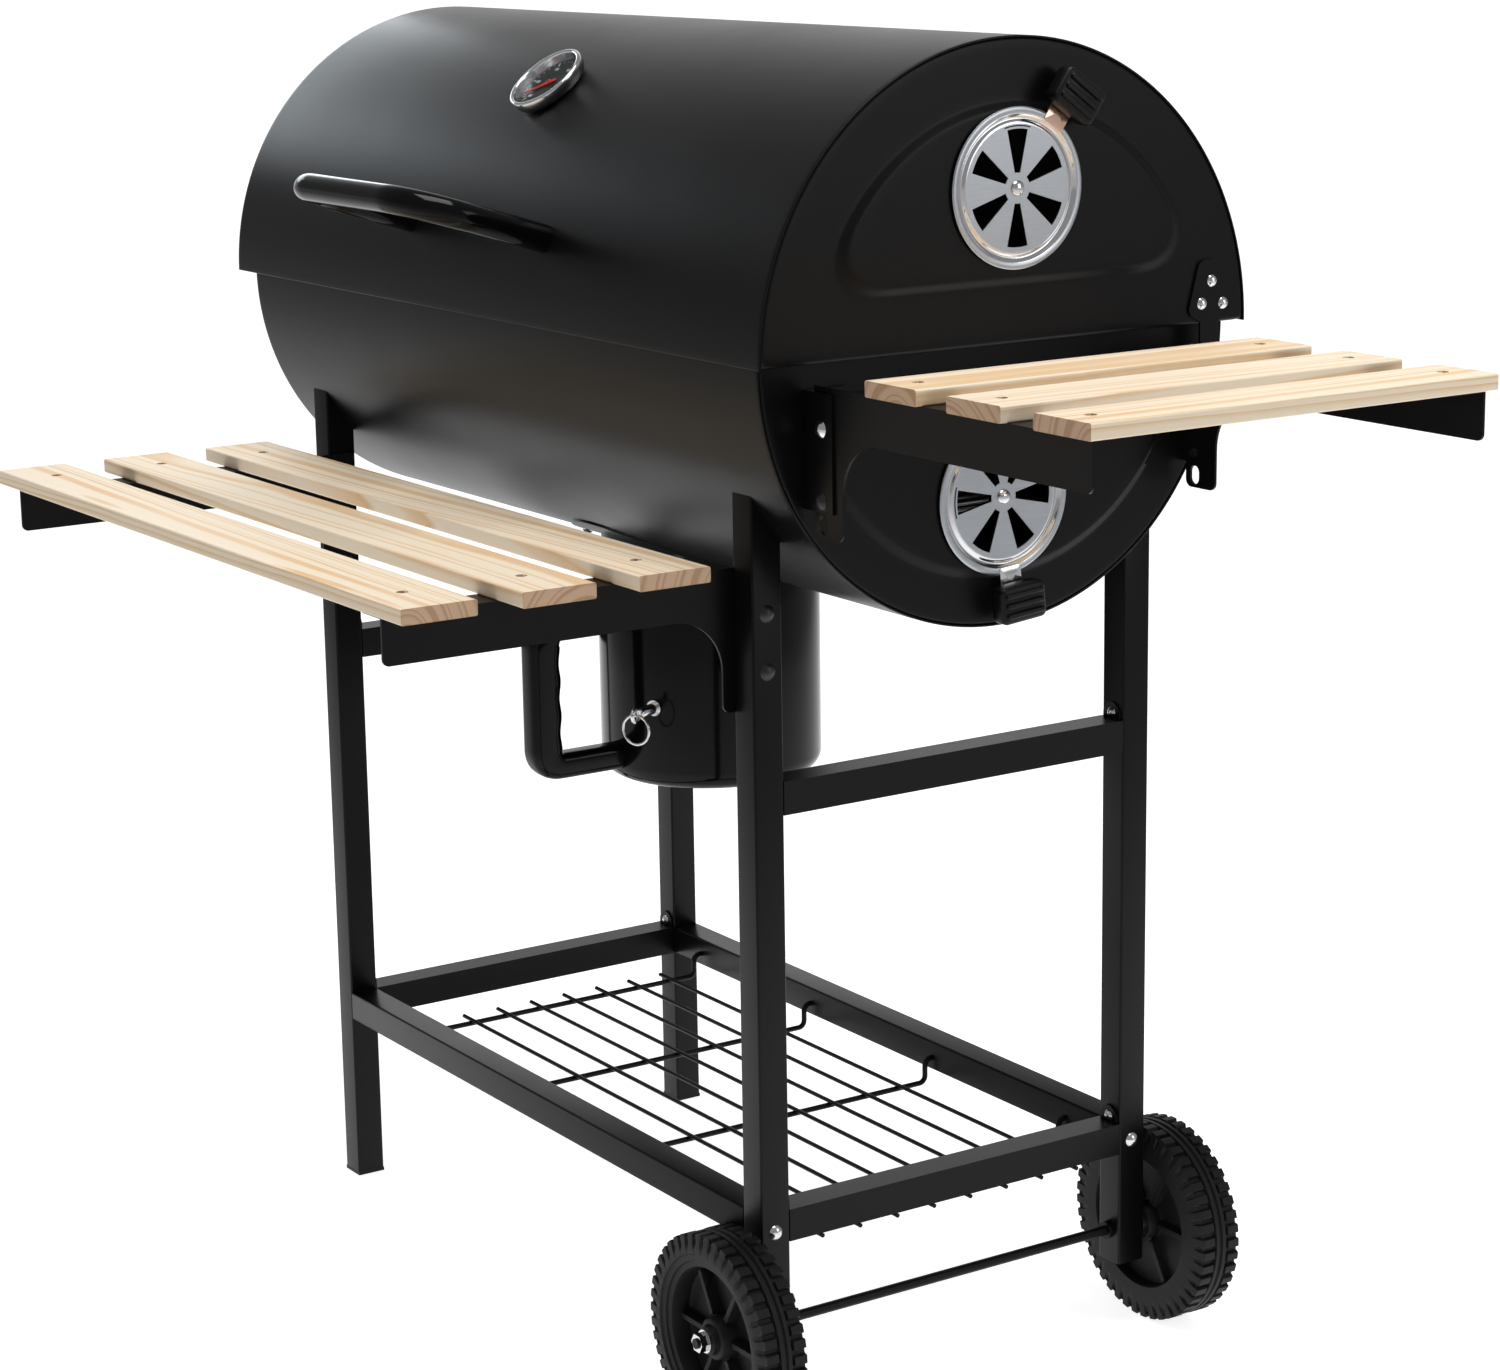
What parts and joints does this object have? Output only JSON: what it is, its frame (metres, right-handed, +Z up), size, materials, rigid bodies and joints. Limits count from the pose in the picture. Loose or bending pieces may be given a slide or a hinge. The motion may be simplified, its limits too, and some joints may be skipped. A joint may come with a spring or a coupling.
{
  "type": "barrel charcoal grill",
  "caption": "Half-round hinged lid on a half-round charcoal bowl, on a wheeled square-tube cart with slatted wooden shelves, a hanging ash pot and a wire shelf.",
  "frame": {"origin": "on the ground, under the middle of the whole object's box", "axes": "+X along the barrel towards the end with the vents and the side shelf, -Y towards the cook, +Z up"},
  "size_m": [1.1404, 0.709, 1.0389],
  "materials": {
    "body_paint": "satin black powder coat",
    "gloss_paint": "gloss black enamel",
    "wire_paint": "satin black",
    "vent_steel": "brushed and polished stainless",
    "chrome": "bright plated",
    "grate_steel": "plated wire",
    "pine": "planed unfinished pine",
    "wheel_plastic": "moulded, slightly rough",
    "knob_plastic": "fine moulded grain",
    "foot_plastic": "moulded",
    "dial_face": "dark printed face",
    "needle_red": "matt",
    "gauge_glass": "clear"
  },
  "bodies": {
    "cart": {"leg_front_left": "body_paint", "leg_front_right": "body_paint", "leg_rear_left": "body_paint", "leg_rear_right": "body_paint", "lower_left_rail": "body_paint", "lower_right_rail": "body_paint", "upper_left_rail": "body_paint", "upper_right_rail": "body_paint", "lower_front_rail": "body_paint", "lower_rear_rail": "body_paint", "bowl_end_left": "body_paint", "bowl_end_right": "body_paint", "bowl_shell": "body_paint", "hinge_brackets": "body_paint", "front_arm_left": "body_paint", "front_arm_right": "body_paint", "side_arm_front": "body_paint", "side_arm_rear": "body_paint", "side_mounts": "body_paint", "ash_collar": "body_paint", "grate_ledges": "body_paint", "wire_shelf": "wire_paint", "axle": "wire_paint", "cart_bolts": "chrome", "wheel_nuts": "chrome", "shelf_screws": "chrome", "lower_vent_rivet": "chrome", "hinge_pins": "chrome", "front_slat_front": "pine", "front_slat_middle": "pine", "front_slat_rear": "pine", "side_slat_inner": "pine", "side_slat_middle": "pine", "side_slat_outer": "pine", "foot_caps": "foot_plastic"},
    "lid": {"lid_shell": "body_paint", "lid_end_left": "body_paint", "lid_end_right": "body_paint", "lid_handle": "gloss_paint", "lid_fixings": "chrome", "hinge_plates": "body_paint", "upper_vent_rivet": "chrome", "thermometer_case": "chrome", "thermometer_dial": "dial_face", "thermometer_glass": "gauge_glass", "thermometer_probe": "chrome"},
    "upper_vent": {"upper_vent_disc": "vent_steel", "upper_vent_knob": "knob_plastic"},
    "lower_vent": {"lower_vent_disc": "vent_steel", "lower_vent_knob": "knob_plastic"},
    "needle": {"thermometer_needle": "needle_red"},
    "front_wheel": {"wheel_front": "wheel_plastic"},
    "rear_wheel": {"wheel_rear": "wheel_plastic"},
    "ash_pot": {"ash_pot": "gloss_paint", "ash_pot_handle": "knob_plastic"},
    "latch_pin": {"ash_latch_pin": "chrome"},
    "latch_ring": {"ash_latch_ring": "chrome"},
    "cooking_grate_left": {"cooking_grate_left": "grate_steel"},
    "cooking_grate_right": {"cooking_grate_right": "grate_steel"},
    "charcoal_grate": {"charcoal_grate": "grate_steel"}
  },
  "joints": [
    {"name": "lid_hinge", "type": "hinge", "parent": "cart", "child": "lid", "pos_m": [-0.15184, 0.3005, 0.793], "axis": [-1, 0, 0], "range_deg": [0, 100]},
    {"name": "upper_vent_turn", "type": "hinge", "parent": "lid", "child": "upper_vent", "pos_m": [0.26546, 0.1175, 0.932], "axis": [1, 0, 0], "range_deg": [0, 30]},
    {"name": "lower_vent_turn", "type": "hinge", "parent": "cart", "child": "lower_vent", "pos_m": [0.24946, 0.1175, 0.7075], "axis": [1, 0, 0], "range_deg": [0, 30]},
    {"name": "thermometer_needle_turn", "type": "hinge", "parent": "lid", "child": "needle", "pos_m": [-0.15184, -0.022, 0.99525], "axis": [0, 0.6239, -0.7815], "range_deg": [0, 250], "stiffness_Nm_per_rad": 0.002},
    {"name": "front_wheel_spin", "type": "hinge", "parent": "cart", "child": "front_wheel", "pos_m": [0.18266, -0.0905, 0.0815], "axis": [0, 1, 0], "continuous": true},
    {"name": "rear_wheel_spin", "type": "hinge", "parent": "cart", "child": "rear_wheel", "pos_m": [0.18266, 0.3255, 0.0815], "axis": [0, 1, 0], "continuous": true},
    {"name": "ash_pot_drop", "type": "slide", "parent": "cart", "child": "ash_pot", "axis": [0, 0, -1], "range_m": [0, 0.12]},
    {"name": "latch_pin_pull", "type": "slide", "parent": "ash_pot", "child": "latch_pin", "axis": [0.4695, -0.8829, 0], "range_m": [0, 0.02]},
    {"name": "latch_ring_swing", "type": "hinge", "parent": "latch_pin", "child": "latch_ring", "pos_m": [-0.09433, 0.00934, 0.493], "axis": [-0.8829, -0.4695, 0], "range_deg": [-30, 60]},
    {"name": "cooking_grate_left_lift", "type": "slide", "parent": "cart", "child": "cooking_grate_left", "axis": [0, 0, 1], "range_m": [0, 0.06]},
    {"name": "cooking_grate_right_lift", "type": "slide", "parent": "cart", "child": "cooking_grate_right", "axis": [0, 0, 1], "range_m": [0, 0.06]},
    {"name": "charcoal_grate_lift", "type": "slide", "parent": "cart", "child": "charcoal_grate", "axis": [0, 0, 1], "range_m": [0, 0.06]}
  ]
}
